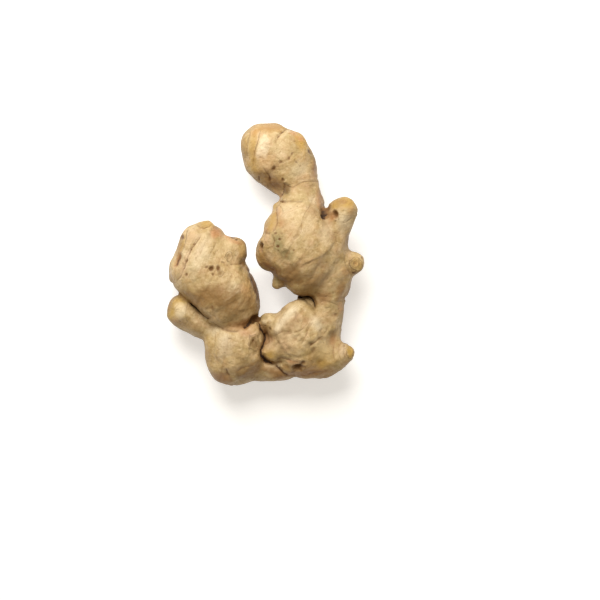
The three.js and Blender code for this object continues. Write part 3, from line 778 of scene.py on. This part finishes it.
def body_field(points):
    """Distance to the whole hand, negative inside."""
    total = np.full(len(points), NOWHERE)
    free = crease(points)
    for lobe in LOBE_LIST:
        near = np.flatnonzero(lobe.near(points))
        gap, _ = lobe.measure(points[near])
        blend = lobe.blend * free[near]
        old = total[near]
        share = np.clip(0.5 + 0.5 * (old - gap) / blend, 0, 1)
        total[near] = old + (gap - old) * share - blend * share * (1 - share)
    for cleft in CLEFTS.values():
        near = np.flatnonzero((points[:, 2] > CLEFT_FLOOR) & (np.abs(total) < 2 * cleft["depth"]))
        gap, place = line_distance(points[near], cleft["path"])
        ends = np.clip(5 * np.minimum(place, 1 - place) + 0.3, 0, 1)
        total[near] += ends * cleft["depth"] * np.exp(-((gap / cleft["carve"]) ** 2))
    return total


def surface_net(values, low):
    """Vertices and quads of the zero level of a grid: one vertex in each cell that it
    crosses, and one quad round each grid edge that it crosses."""
    inside = values < 0
    sizes = np.array(values.shape)
    corners = list(product((0, 1), repeat=3))
    count = sum(
        inside[i : sizes[0] - 1 + i, j : sizes[1] - 1 + j, k : sizes[2] - 1 + k].astype(int)
        for i, j, k in corners
    )
    crossed = (count > 0) & (count < 8)
    number = np.full(crossed.shape, -1)
    number[crossed] = np.arange(crossed.sum())
    cells = np.argwhere(crossed)

    total = np.zeros(cells.shape)
    hits = np.zeros(len(cells))
    for a, b in product(corners, corners):
        if np.sum(np.subtract(b, a)) != 1 or np.min(np.subtract(b, a)) < 0:
            continue
        start = values[tuple((cells + a).T)]
        end = values[tuple((cells + b).T)]
        cut = np.flatnonzero((start < 0) != (end < 0))
        t = start[cut] / (start[cut] - end[cut])
        total[cut] += cells[cut] + a + t[:, None] * np.subtract(b, a)
        hits[cut] += 1
    vertices = low + VOXEL * total / hits[:, None]

    quads = []
    for axis in range(3):
        step = np.eye(3, dtype=int)
        side_a, side_b = step[(axis + 1) % 3], step[(axis + 2) % 3]
        first = inside[tuple(slice(0, -1) if k == axis else slice(None) for k in range(3))]
        second = inside[tuple(slice(1, None) if k == axis else slice(None) for k in range(3))]
        edges = np.argwhere(first != second)
        ring = [edges - side_a - side_b, edges - side_b, edges, edges - side_a]
        quad = np.stack([number[tuple(cell.T)] for cell in ring], axis=1)
        turned = ~first[tuple(edges.T)]
        quad[turned] = quad[turned][:, ::-1]
        quads.append(quad)
    return vertices, np.concatenate(quads)


def relax(vertices, quads, rounds, share):
    """Vertices moved a share of the way to the middle of their neighbours."""
    for _ in range(rounds):
        vertices = vertices + share * (neighbour_mean(vertices, quads) - vertices)
    return vertices


def neighbour_mean(values, quads):
    """The mean of each vertex's neighbours, of any values held by the vertices."""
    total = np.zeros(values.shape)
    count = np.zeros(len(values))
    for k in range(4):
        a, b = quads[:, k], quads[:, (k + 1) % 4]
        for one, other in ((a, b), (b, a)):
            if values.ndim == 1:
                total += np.bincount(one, values[other], len(values))
            else:
                for axis in range(values.shape[1]):
                    total[:, axis] += np.bincount(one, values[other, axis], len(values))
            count += np.bincount(one, minlength=len(values))
    return total / (count[:, None] if values.ndim > 1 else count)


def normals_of(vertices, quads):
    """The unit normal at each vertex, from the quads round it."""
    across = vertices[quads[:, 2]] - vertices[quads[:, 0]]
    up = vertices[quads[:, 3]] - vertices[quads[:, 1]]
    face = np.cross(across, up)
    normals = np.zeros(vertices.shape)
    for k in range(4):
        for axis in range(3):
            normals[:, axis] += np.bincount(quads[:, k], face[:, axis], len(vertices))
    return normals / np.maximum(np.linalg.norm(normals, axis=1), 1e-9)[:, None]


def base_surface():
    """The blended lobes as a smooth mesh, which skin_object later cuts flat on the table."""
    low = np.min([lobe.low for lobe in LOBE_LIST], axis=0)
    high = np.max([lobe.high for lobe in LOBE_LIST], axis=0)
    shape = np.ceil((high - low) / VOXEL).astype(int) + 1
    grid = low + VOXEL * np.stack(np.meshgrid(*map(np.arange, shape), indexing="ij"), -1)
    values = body_field(grid.reshape(-1, 3)).reshape(shape)
    vertices, quads = surface_net(values, low)
    return relax(vertices, quads, rounds=2, share=0.35), quads


def swells(points):
    """The slow swells of the skin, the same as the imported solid's."""
    x, y, z = points.T
    wide = np.sin(0.23 * x + 1.1) * np.sin(0.19 * y + 0.4) + np.sin(0.27 * z + 0.15 * x)
    fine = np.sin(0.52 * x - 0.31 * z + 2) * np.sin(0.47 * y + 0.33 * z + 0.7)
    return 0.7 * (0.55 * wide + 0.4 * fine)


def lobe_marks(points, normals, tints):
    """The relief of every lobe's rings. Fills in the tints of rings and young tips, and
    returns how far along its lobe each point lies, blended between lobes."""
    gaps = np.full((len(LOBE_LIST), len(points)), NO_LOBE)
    backs = np.zeros(gaps.shape)
    for i, lobe in enumerate(LOBE_LIST):
        near = np.flatnonzero(lobe.near(points))
        gaps[i, near], backs[i, near] = lobe.measure(points[near])
    shares = np.exp(-(gaps - gaps.min(0)) / HUG)
    shares /= shares.sum(0)

    wander = RING_WANDER * noise(points, 9, 1) + 0.35 * noise(points, 3, 2)
    strength = np.clip(0.65 + 0.7 * noise(points, 7, 3), 0, 1.2)
    strength *= 1 - (1 - RINGS_ON_TOP) * facing_up(normals)
    relief = np.zeros(len(points))
    for lobe, back, share in zip(LOBE_LIST, backs, shares):
        for ring in lobe.rings:
            off = back - ring + wander
            lip = LIP_HEIGHT * np.where(off > 0, np.exp(-off / LIP_REACH), 0)
            lip *= np.clip(off / LIP_RISE, 0, 1)
            groove = np.exp(-((off / GROOVE_REACH) ** 2))
            relief += share * strength * (lip - GROOVE_DEPTH * groove)
            darker = np.exp(-((off / RING_DARK_REACH) ** 2))
            tints["dark"] += RING_DARK * share * strength * darker
        if lobe.yellow and not lobe.grain:
            young = np.clip(1 - back / (1.1 * lobe.tip_radius), 0, 1)
            tints["yellow"] += 0.8 * lobe.yellow * share * young
    return relief, (shares * backs).sum(0)


def line_distance(points, path):
    """Distance in the photograph's plane to a line, above 0 on its left, and how far
    along it, from 0 to 1."""
    line = smooth_path([from_pixel(u, v) for u, v in path])
    best = np.full(len(points), NOWHERE)
    place = np.zeros(len(points))
    for i, (a, b) in enumerate(zip(line, line[1:])):
        along = b - a
        offset = points[:, :2] - a
        t = np.clip(offset @ along / max(along @ along, 1e-9), 0, 1)
        gap = np.linalg.norm(offset - t[:, None] * along, axis=1)
        left = along[0] * offset[:, 1] - along[1] * offset[:, 0] > 0
        closer = gap < np.abs(best)
        best = np.where(closer, np.where(left, gap, -gap), best)
        place = np.where(closer, (i + t) / (len(line) - 1), place)
    return best, place


def facing_up(normals):
    """1 on skin that the photograph sees, fading to 0 on skin that faces down."""
    return np.clip(0.5 + 2.5 * normals[:, 2], 0, 1)


def draw_line(fields, gap, half, dark):
    """Keeps a line in the fields that the material draws lines from, where it is the
    nearest."""
    near = np.clip((LINE_SEEN + 0.5 - np.abs(gap)) / 0.5, 0, 1)
    closer = np.abs(gap) < np.abs(fields["line_gap"])
    fields["line_gap"] = np.where(closer, gap, fields["line_gap"])
    fields["line_half"] = np.where(closer, half, fields["line_half"])
    fields["line_dark"] = np.where(closer, dark * near, fields["line_dark"])


def line_marks(points, normals, tints, fields):
    """The relief of the scars and ridges that follow a line."""
    seen = facing_up(normals)
    relief = np.zeros(len(points))
    patchy = np.clip(0.95 + 0.55 * noise(points, 2.6, 5), 0.3, 1.15)
    for stroke in STROKES.values():
        gap, place = line_distance(points, stroke["path"])
        ends = seen * np.clip(7 * np.minimum(place, 1 - place), 0, 1)
        groove = np.exp(-((gap / (1.5 * stroke["half"] + 0.15)) ** 2))
        relief -= ends * patchy * stroke["depth"] * groove
        if "step" in stroke:
            side = gap * np.sign(stroke["step"])
            raised = np.clip(0.5 + side / 0.7, 0, 1) * np.exp(-np.maximum(side, 0) / 2.2)
            relief += ends * abs(stroke["step"]) * raised
        draw_line(fields, gap, stroke["half"], stroke["dark"] * ends * patchy)
    for cleft in CLEFTS.values():
        gap, place = line_distance(points, cleft["path"])
        ends = np.clip(14 * np.minimum(place, 1 - place), 0, 1)
        # Painted shade: brown round each cleft
        tints["brown"] += 0.5 * ends * np.exp(-((gap / (2.2 * cleft["half"])) ** 2))
        draw_line(fields, gap, cleft["half"], cleft.get("dark", 1) * ends)
    for ridge in RIDGES.values():
        gap, place = line_distance(points, ridge["path"])
        ends = seen * np.clip(4 * np.minimum(place, 1 - place) + 0.2, 0, 1)
        crest = np.exp(-((gap / (0.5 * ridge["width"])) ** 2))
        relief += ends * ridge["height"] * crest
        tints["pale"] += ridge["pale"] * ends * crest
    return relief


def lumps_of(points):
    """The height of rough skin, between -1 and 1."""
    return 0.6 * noise(points, 2.8, 21) + 0.4 * noise(points, 1.5, 22)


def press(mark, reach, size, facing, lumps, tints, fields):
    """The relief of one round mark, where reach is 0 at its centre and 1 at its edge,
    size is its radius in millimetres and lumps the height of rough skin."""
    soft = np.where(reach < 1, (1 - np.minimum(reach, 1) ** 2) ** 2, 0) * facing
    rim = np.exp(-(((reach - 1) / 0.28) ** 2)) * facing
    relief = mark.get("bump", 0) * soft
    if "pit" in mark:
        relief += mark["pit"] * (0.15 * rim - soft)
    if "plate" in mark:
        relief += mark["plate"] * (0.6 * rim - 0.8 * soft)
        rim_dark = mark.get("rim", 0.5) * facing
        draw_line(fields, (reach - 1.05) * size, RIM_HALF, rim_dark)
    patch = np.clip(1.3 - reach, 0, 1) ** 0.8 * facing
    relief += mark.get("rough", 0) * patch * lumps
    for tint in TINTS:
        tints[tint] += mark.get(tint, 0) * patch
    if "spot" in mark:
        closer = reach < fields["spot_reach"]
        fields["spot_reach"][closer] = reach[closer]
        fields["spot_dark"][closer] = (mark["spot"] * facing)[closer]
    return relief


def photo_marks():
    """Every round mark that the photograph shows."""
    for spots in SMALL_PITS.values():
        for u, v, half_across, half_up, turn, pit, spot in spots:
            yield mark_at(u, v, half_across, half_up, turn=turn, pit=pit, spot=spot)
    yield from MARKS.values()


def round_marks(points, normals, tints, fields):
    """The relief of the round marks that the photograph shows."""
    relief = np.zeros(len(points))
    ragged = 1 + 0.28 * noise(points, 2.0, 6) + 0.16 * noise(points, 0.9, 7)
    lumps = lumps_of(points)
    for mark in photo_marks():
        turn = np.radians(mark.get("turn", 0))
        across, up = (points[:, :2] - from_pixel(*mark["at"])).T / PIXEL
        turned = np.stack(
            [
                (across * np.cos(turn) + up * np.sin(turn)) / mark["half"][0],
                (up * np.cos(turn) - across * np.sin(turn)) / mark["half"][1],
            ]
        )
        reach = np.linalg.norm(turned, axis=0) * ragged
        size = PIXEL * np.mean(mark["half"])
        relief += press(mark, reach, size, facing_up(normals), lumps, tints, fields)
    return relief


def strewn_marks(points, normals, tints, fields):
    """The relief of the marks strewn over the skin, most of them where the photograph
    doesn't show it."""
    draw = np.random.default_rng(SEED)
    relief = np.zeros(len(points))
    ragged = 1 + 0.25 * noise(points, 1.5, 8)
    lumps = lumps_of(points)
    for mark in STREWN.values():
        for _ in range(mark["count"]):
            centre = draw.integers(len(points))
            radius = draw.uniform(*mark["radius"])
            keep = draw.uniform()
            if normals[centre, 2] > 0 and keep > mark.get("top", 0):
                continue
            offset = points - points[centre]
            near = np.flatnonzero(np.abs(offset).max(1) < 2 * radius)
            reach = np.linalg.norm(offset[near], axis=1) / radius * ragged[near]
            facing = np.clip(2 * normals[near] @ normals[centre], 0, 1)
            local_tints = {tint: values[near] for tint, values in tints.items()}
            local_fields = {name: values[near] for name, values in fields.items()}
            relief[near] += press(
                mark, reach, radius, facing, lumps[near], local_tints, local_fields
            )
            for whole, local in ((tints, local_tints), (fields, local_fields)):
                for name, values in local.items():
                    whole[name][near] = values
    return relief


def wrinkles(points, along):
    """Fine relief: knobs, pores and creases round each lobe."""
    bumps = 0.13 * noise(points, 5.5, 10) + 0.13 * noise(points, 2.4, 11)
    grain = 0.06 * noise(points, 1.2, 12)
    phase = along + 1.6 * noise(points, 8, 13) + 0.4 * noise(points, 3, 14)
    folds = np.abs(noise(np.stack([phase, phase * 0, phase * 0 + 0.5], 1), 1.7, 15))
    patchy = np.clip(noise(points, 12, 16) + 0.35, 0, 1)
    return bumps + grain - 0.09 * patchy * np.clip(1 - 3 * folds, 0, 1)


def cavity_of(vertices, quads, normals, rounds):
    """How hollow the skin is at each vertex, in millimetres, over a few vertices round."""
    smooth = relax(vertices, quads, rounds, 0.9)
    return np.einsum("ij,ij->i", smooth - vertices, normals)


def mesh_object(name, vertices, quads, attributes):
    """A smooth mesh, from the lobes' millimetres, that holds a number for each vertex
    under each attribute's name."""
    mesh = bpy.data.meshes.new(name)
    mesh.from_pydata(((vertices + LOBES_TO_FRAME) * MM).tolist(), [], quads.tolist())
    mesh.polygons.foreach_set("use_smooth", np.ones(len(quads), bool))
    for title, values in attributes.items():
        attribute = mesh.attributes.new(title, "FLOAT", "POINT")
        attribute.data.foreach_set("value", values.astype(np.float32))
    mesh.update()
    whole = bpy.data.objects.new(name, mesh)
    bpy.context.scene.collection.objects.link(whole)
    return whole


def skin_object():
    """The fine skin as one mesh, with the tints and fields that its material reads."""
    points, quads = base_surface()
    normals = normals_of(points, quads)
    tints = {tint: np.zeros(len(points)) for tint in TINTS}
    fields = {
        "line_gap": np.full(len(points), FAR),
        "line_half": np.full(len(points), 0.3),
        "line_dark": np.zeros(len(points)),
        "spot_reach": np.full(len(points), FAR),
        "spot_dark": np.zeros(len(points)),
    }
    ring_relief, along = lobe_marks(points, normals, tints)
    relief = ring_relief + swells(points) + wrinkles(points, along)
    relief += line_marks(points, normals, tints, fields)
    relief += round_marks(points, normals, tints, fields)
    relief += strewn_marks(points, normals, tints, fields)
    # Painted shade: the sides and the underside darkened, browner and greyer, by how far they face away
    # from up
    side = np.clip(1 - normals[:, 2] / SIDE_STARTS, 0, 1)
    tints["brown"] += SIDE_SHADE_BROWN * side
    tints["grey"] += SIDE_SHADE_GREY * side
    vertices = points + relief[:, None] * normals
    vertices = relax(vertices, quads, rounds=1, share=0.1)
    vertices[:, 2] = np.maximum(vertices[:, 2], 0)

    normals = normals_of(vertices, quads)
    near_hollow = cavity_of(vertices, quads, normals, 3)
    wide_hollow = cavity_of(vertices, quads, normals, 30)
    # Painted shade: the skin darkened in its hollows, by how hollow it is; its crests made lighter
    tints["hollow"] = np.clip(2.0 * near_hollow, 0, 1) + np.clip(0.4 * wide_hollow, 0, 1)
    tints["crest"] = np.clip(-2.0 * near_hollow - 0.05, 0, 1)

    tints = {name: np.clip(values, 0, 1) for name, values in tints.items()}
    skin = mesh_object("ginger_skin", vertices, quads, {**tints, **fields, "along": along})
    skin.data.materials.append(skin_material())
    return skin


def srgb(red, green, blue):
    """A colour given as 0 to 255 on a screen, as the linear colour that shaders take."""
    linear = []
    for value in (red, green, blue):
        c = value / 255
        linear.append(c / 12.92 if c <= 0.04045 else ((c + 0.055) / 1.055) ** 2.4)
    return (*linear, 1.0)


class Shader:
    """Short ways to add the nodes of one material and join them."""

    def __init__(self, name):
        self.material = bpy.data.materials.new(name)
        self.material.use_nodes = True
        self.tree = self.material.node_tree
        self.surface = self.tree.nodes["Principled BSDF"]

    def node(self, kind, inputs, **settings):
        node = self.tree.nodes.new(kind)
        for name, value in settings.items():
            setattr(node, name, value)
        for key, value in inputs.items():
            self.set(node.inputs[key], value)
        return node

    def set(self, socket, value):
        if isinstance(value, bpy.types.NodeSocket):
            self.tree.links.new(value, socket)
        else:
            socket.default_value = value

    def attribute(self, name):
        return self.node("ShaderNodeAttribute", {}, attribute_name=name).outputs["Fac"]

    def noise(self, vector, scale, detail=2.0, roughness=0.5):
        inputs = {"Vector": vector, "Scale": scale, "Detail": detail, "Roughness": roughness}
        return self.node("ShaderNodeTexNoise", inputs).outputs["Fac"]

    def spread(self, value, low, high, to_low=0.0, to_high=1.0):
        inputs = {0: value, 1: low, 2: high, 3: to_low, 4: to_high}
        return self.node("ShaderNodeMapRange", inputs, clamp=True).outputs[0]

    def math(self, operation, a, b):
        return self.node("ShaderNodeMath", {0: a, 1: b}, operation=operation).outputs[0]

    def mix(self, share, a, b, blend="MIX"):
        inputs = {0: share, 6: a, 7: b}
        settings = dict(data_type="RGBA", blend_type=blend)
        return self.node("ShaderNodeMix", inputs, **settings).outputs[2]

    def bump(self, height, distance, strength, normal=None):
        inputs = {"Height": height, "Distance": distance, "Strength": strength}
        if normal:
            inputs["Normal"] = normal
        return self.node("ShaderNodeBump", inputs).outputs["Normal"]


# The skin's material. Every colour is the one that the photograph shows in full light,
# and the skin's own is less bright by this factor.
LIT = 1.3
NOISES = {  # scale, detail and roughness
    "broad": (60, 3, 0.5),
    "blotch": (210, 3, 0.6),
    "mottle": (520, 3, 0.6),
    "grain": (1300, 3, 0.6),
}
BLUSH_NOISE = (150, 3, 0.6)
BLUSH_SHIFT = (0.3, 0.1, 0.2)  # so that it has other lumps than the broad noise
LINE_NOISE = (2.2, 4, 0.6)
LINE_PITCH = 1.3
LINE_DRIFT = (85, 85, 85)
PORE_SCALE = 430
GROUND = ((203, 173, 121), (216, 190, 140))
CLOUDS = [  # the noise, where a layer starts and is full, its share and its colour
    ("blotch", 0.45, 0.68, 0.5, (190, 157, 100)),
    ("blotch", 0.5, 0.34, 0.35, (222, 190, 148)),
    ("blush", 0.52, 0.68, 0.45, (216, 172, 130)),
    ("blush", 0.48, 0.34, 0.4, (190, 170, 112)),
    ("mottle", 0.52, 0.66, 0.48, (174, 138, 84)),
    ("mottle", 0.46, 0.34, 0.4, (240, 214, 170)),
]
# The pale tint also paints highlights, and the brown and grey tints also paint shade
STAINS_AND_PAINTED_LIGHT = [  # the tint, its share and its colour
    ("pale", 0.85, (248, 230, 194)),
    ("yellow", 0.85, (210, 170, 80)),
    ("pink", 0.85, (206, 148, 98)),
    ("grey", 0.7, (150, 142, 98)),
    ("brown", 0.82, (148, 110, 60)),
]
# Painted shade darkens the hollows; the crests are made lighter
HOLLOW_SHADE_AND_CREST = [("crest", 0.32, (244, 220, 180)), ("hollow", 0.75, (144, 98, 50))]
WRINKLE_TONE = (182, 138, 82)
SPECK_TONE = (156, 114, 62)
PORE_TONE = (130, 94, 54)
# The dark tint: ring scars, and a painted shadow along a lobe's edge
DARK_STAIN_AND_SHADOW = ("dark", 0.8, (128, 90, 50))
SCAR_TONE = (118, 80, 44)
# Painted shade: the near black of the clefts
CLEFT_SHADE_TONE = (58, 36, 18)
SPOT_TONE = (116, 78, 36)


def skin_tone(red, green, blue):
    """The skin's own colour where the photograph shows this one in full light."""
    return (*(value / LIT for value in srgb(red, green, blue)[:3]), 1.0)


def skin_noises(shader, place, along):
    """The noises that the colour and the relief share, with lines that run round each
    lobe among them."""
    noises = {name: shader.noise(place, *values) for name, values in NOISES.items()}
    shifted = shader.node("ShaderNodeVectorMath", {0: place, 1: BLUSH_SHIFT}, operation="ADD")
    noises["blush"] = shader.noise(shifted.outputs[0], *BLUSH_NOISE)
    pitch = shader.math("MULTIPLY", along, LINE_PITCH)
    round_lobe = shader.node("ShaderNodeCombineXYZ", {"X": pitch}).outputs[0]
    drift = shader.node("ShaderNodeVectorMath", {0: place, 1: LINE_DRIFT}, operation="MULTIPLY")
    line_place = shader.node("ShaderNodeVectorMath", {0: round_lobe, 1: drift.outputs[0]})
    noises["lines"] = shader.noise(line_place.outputs[0], *LINE_NOISE)
    return noises


def skin_colour(shader, place, tint, noises):
    """The skin without its lines and spots: the ground, the clouds of the noises, the
    stains of the tints, with painted highlights in the pale tint and painted shade in the
    brown, grey and dark ones, then wrinkles, painted shade in the hollows, lighter
    crests, specks and pores."""

    def tinted(colour, name, share, tone):
        return shader.mix(shader.math("MULTIPLY", tint[name], share), colour, skin_tone(*tone))

    colour = shader.mix(shader.spread(noises["broad"], 0.36, 0.64), *(skin_tone(*t) for t in GROUND))
    for name, start, full, share, tone in CLOUDS:
        there = shader.spread(noises[name], start, full, 0, share)
        colour = shader.mix(there, colour, skin_tone(*tone))
    for stain in STAINS_AND_PAINTED_LIGHT:
        colour = tinted(colour, *stain)
    wrinkled = shader.spread(noises["lines"], 0.53, 0.7, 0, 0.35)
    colour = shader.mix(wrinkled, colour, skin_tone(*WRINKLE_TONE))
    for stain in HOLLOW_SHADE_AND_CREST:
        colour = tinted(colour, *stain)
    dusty = shader.spread(noises["blotch"], 0.4, 0.6, 0.1, 0.42)
    speck = shader.math("MULTIPLY", shader.spread(noises["grain"], 0.54, 0.68), dusty)
    colour = shader.mix(speck, colour, skin_tone(*SPECK_TONE))
    pores = shader.node("ShaderNodeTexVoronoi", {"Vector": place, "Scale": PORE_SCALE})
    open_pores = shader.spread(noises["blotch"], 0.48, 0.6, 0, 0.45)
    dots = shader.spread(pores.outputs["Distance"], 0.0, 0.22, 1, 0)
    colour = shader.mix(shader.math("MULTIPLY", dots, open_pores), colour, skin_tone(*PORE_TONE))
    return tinted(colour, *DARK_STAIN_AND_SHADOW)


def with_lines(shader, colour, tint, noises):
    """The colour with its dark lines, wavy and broken, near black where a cleft is, as
    painted shade, and with its round spots."""
    ragged = shader.spread(noises["grain"], 0.3, 0.7, 0.65, 1.4)
    wave = shader.spread(noises["mottle"], 0.3, 0.7, -0.22, 0.22)
    wavy = shader.math("ADD", tint["line_gap"], wave)
    gap = shader.math("MULTIPLY", shader.math("ABSOLUTE", wavy, 0.0), ragged)
    core = shader.math("MULTIPLY", tint["line_half"], 0.45)
    within = shader.spread(gap, core, tint["line_half"], 1, 0)
    broken = shader.spread(noises["mottle"], 0.66, 0.46, 0.35, 1.0)
    scar = shader.math("MULTIPLY", shader.math("MULTIPLY", within, tint["line_dark"]), broken)
    colour = shader.mix(scar, colour, skin_tone(*SCAR_TONE))
    # Painted shade: the darkest lines, those of the clefts, go near black
    cleft = shader.math("MULTIPLY", within, shader.spread(tint["line_dark"], 0.78, 0.98))
    colour = shader.mix(cleft, colour, skin_tone(*CLEFT_SHADE_TONE))

    uneven = shader.spread(noises["mottle"], 0.35, 0.65, 0.75, 1.4)
    reach = shader.math("MULTIPLY", tint["spot_reach"], uneven)
    spot = shader.math("MULTIPLY", shader.spread(reach, 0.45, 1.2, 1, 0), tint["spot_dark"])
    return shader.mix(spot, colour, skin_tone(*SPOT_TONE))


def skin_material():
    """Thin corky skin: tan, blotched, lined round the lobes, yellow where it is young,
    brown in scars, with painted shade in its hollows, clefts and sides and painted
    highlights where it shines."""
    shader = Shader("ginger_skin")
    place = shader.node("ShaderNodeTexCoord", {}).outputs["Object"]
    names = (*TINTS, "hollow", "crest", "along")
    names += ("line_gap", "line_half", "line_dark", "spot_reach", "spot_dark")
    tint = {name: shader.attribute(name) for name in names}
    noises = skin_noises(shader, place, tint["along"])
    colour = skin_colour(shader, place, tint, noises)
    colour = with_lines(shader, colour, tint, noises)
    shader.set(shader.surface.inputs["Base Color"], colour)

    dry = shader.spread(noises["blotch"], 0.35, 0.7, 0.44, 0.62)
    rough = shader.math("ADD", dry, shader.math("MULTIPLY", tint["hollow"], 0.25))
    shader.set(shader.surface.inputs["Roughness"], rough)
    shader.set(shader.surface.inputs["IOR"], 1.42)

    fine = shader.bump(noises["grain"], 0.0003, 0.5)
    rough_skin = shader.bump(noises["mottle"], 0.0006, 0.7, fine)
    lined = shader.bump(noises["lines"], 0.0006, 0.4, rough_skin)
    lumpy = shader.bump(noises["blotch"], 0.0012, 0.42, lined)
    shader.set(shader.surface.inputs["Normal"], lumpy)
    return shader.material


def table_material():
    """A white table that glows a little, as a light table does."""
    shader = Shader("pale_table")
    shader.set(shader.surface.inputs["Base Color"], srgb(215, 215, 215))
    shader.set(shader.surface.inputs["Roughness"], 0.95)
    shader.set(shader.surface.inputs["Emission Color"], (1, 1, 1, 1))
    shader.set(shader.surface.inputs["Emission Strength"], TABLE_GLOW)
    return shader.material


def floor():
    corners = [(-1, -1, 0), (1, -1, 0), (1, 1, 0), (-1, 1, 0)]
    mesh = bpy.data.meshes.new("floor")
    mesh.from_pydata([Vector(c) * FLOOR_HALF for c in corners], [], [(0, 1, 2, 3)])
    sheet = bpy.data.objects.new("floor", mesh)
    sheet.data.materials.append(table_material())
    bpy.context.scene.collection.objects.link(sheet)


def in_frame(u, v, height=0.0):
    """The point of the row's frame, in metres, under a pixel of the photograph."""
    x, y = from_pixel(u, v) + LOBES_TO_FRAME[:2]
    return Vector((x * MM, y * MM, height))


def camera():
    """Straight above, with up in the photograph along +Y."""
    data = bpy.data.cameras.new("camera")
    data.sensor_width = SENSOR
    data.lens = SENSOR * CAMERA_HEIGHT / (FRAME_PIXELS * PIXEL * MM)
    eye = bpy.data.objects.new("camera", data)
    middle = FRAME_PIXELS / 2
    eye.location = in_frame(middle, middle, LOBE_MIDDLE + CAMERA_HEIGHT)
    bpy.context.scene.collection.objects.link(eye)
    bpy.context.scene.camera = eye


def softbox(name, direction, distance, size, power, colour):
    """A square area light that shines on the ginger from a direction."""
    data = bpy.data.lights.new(name, "AREA")
    data.size = size
    data.energy = power
    data.color = colour
    lamp = bpy.data.objects.new(name, data)
    lamp.location = Vector(direction).normalized() * distance
    lamp.rotation_euler = Vector(direction).to_track_quat("Z", "Y").to_euler()
    bpy.context.scene.collection.objects.link(lamp)


def studio():
    softbox("key", (-0.14, 0.6, 0.75), 0.6, 0.4, 5.1, (1.0, 0.98, 0.94))
    world = bpy.data.worlds.new("studio")
    world.use_nodes = True
    world.node_tree.nodes["Background"].inputs["Color"].default_value = WORLD_COLOUR
    world.node_tree.nodes["Background"].inputs["Strength"].default_value = WORLD_LIGHT
    bpy.context.scene.world = world
    bpy.context.scene.view_settings.view_transform = "Standard"


camera()
studio()
floor()
ginger_skin = skin_object()
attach(ginger_skin, "root")
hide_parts("rhizome")
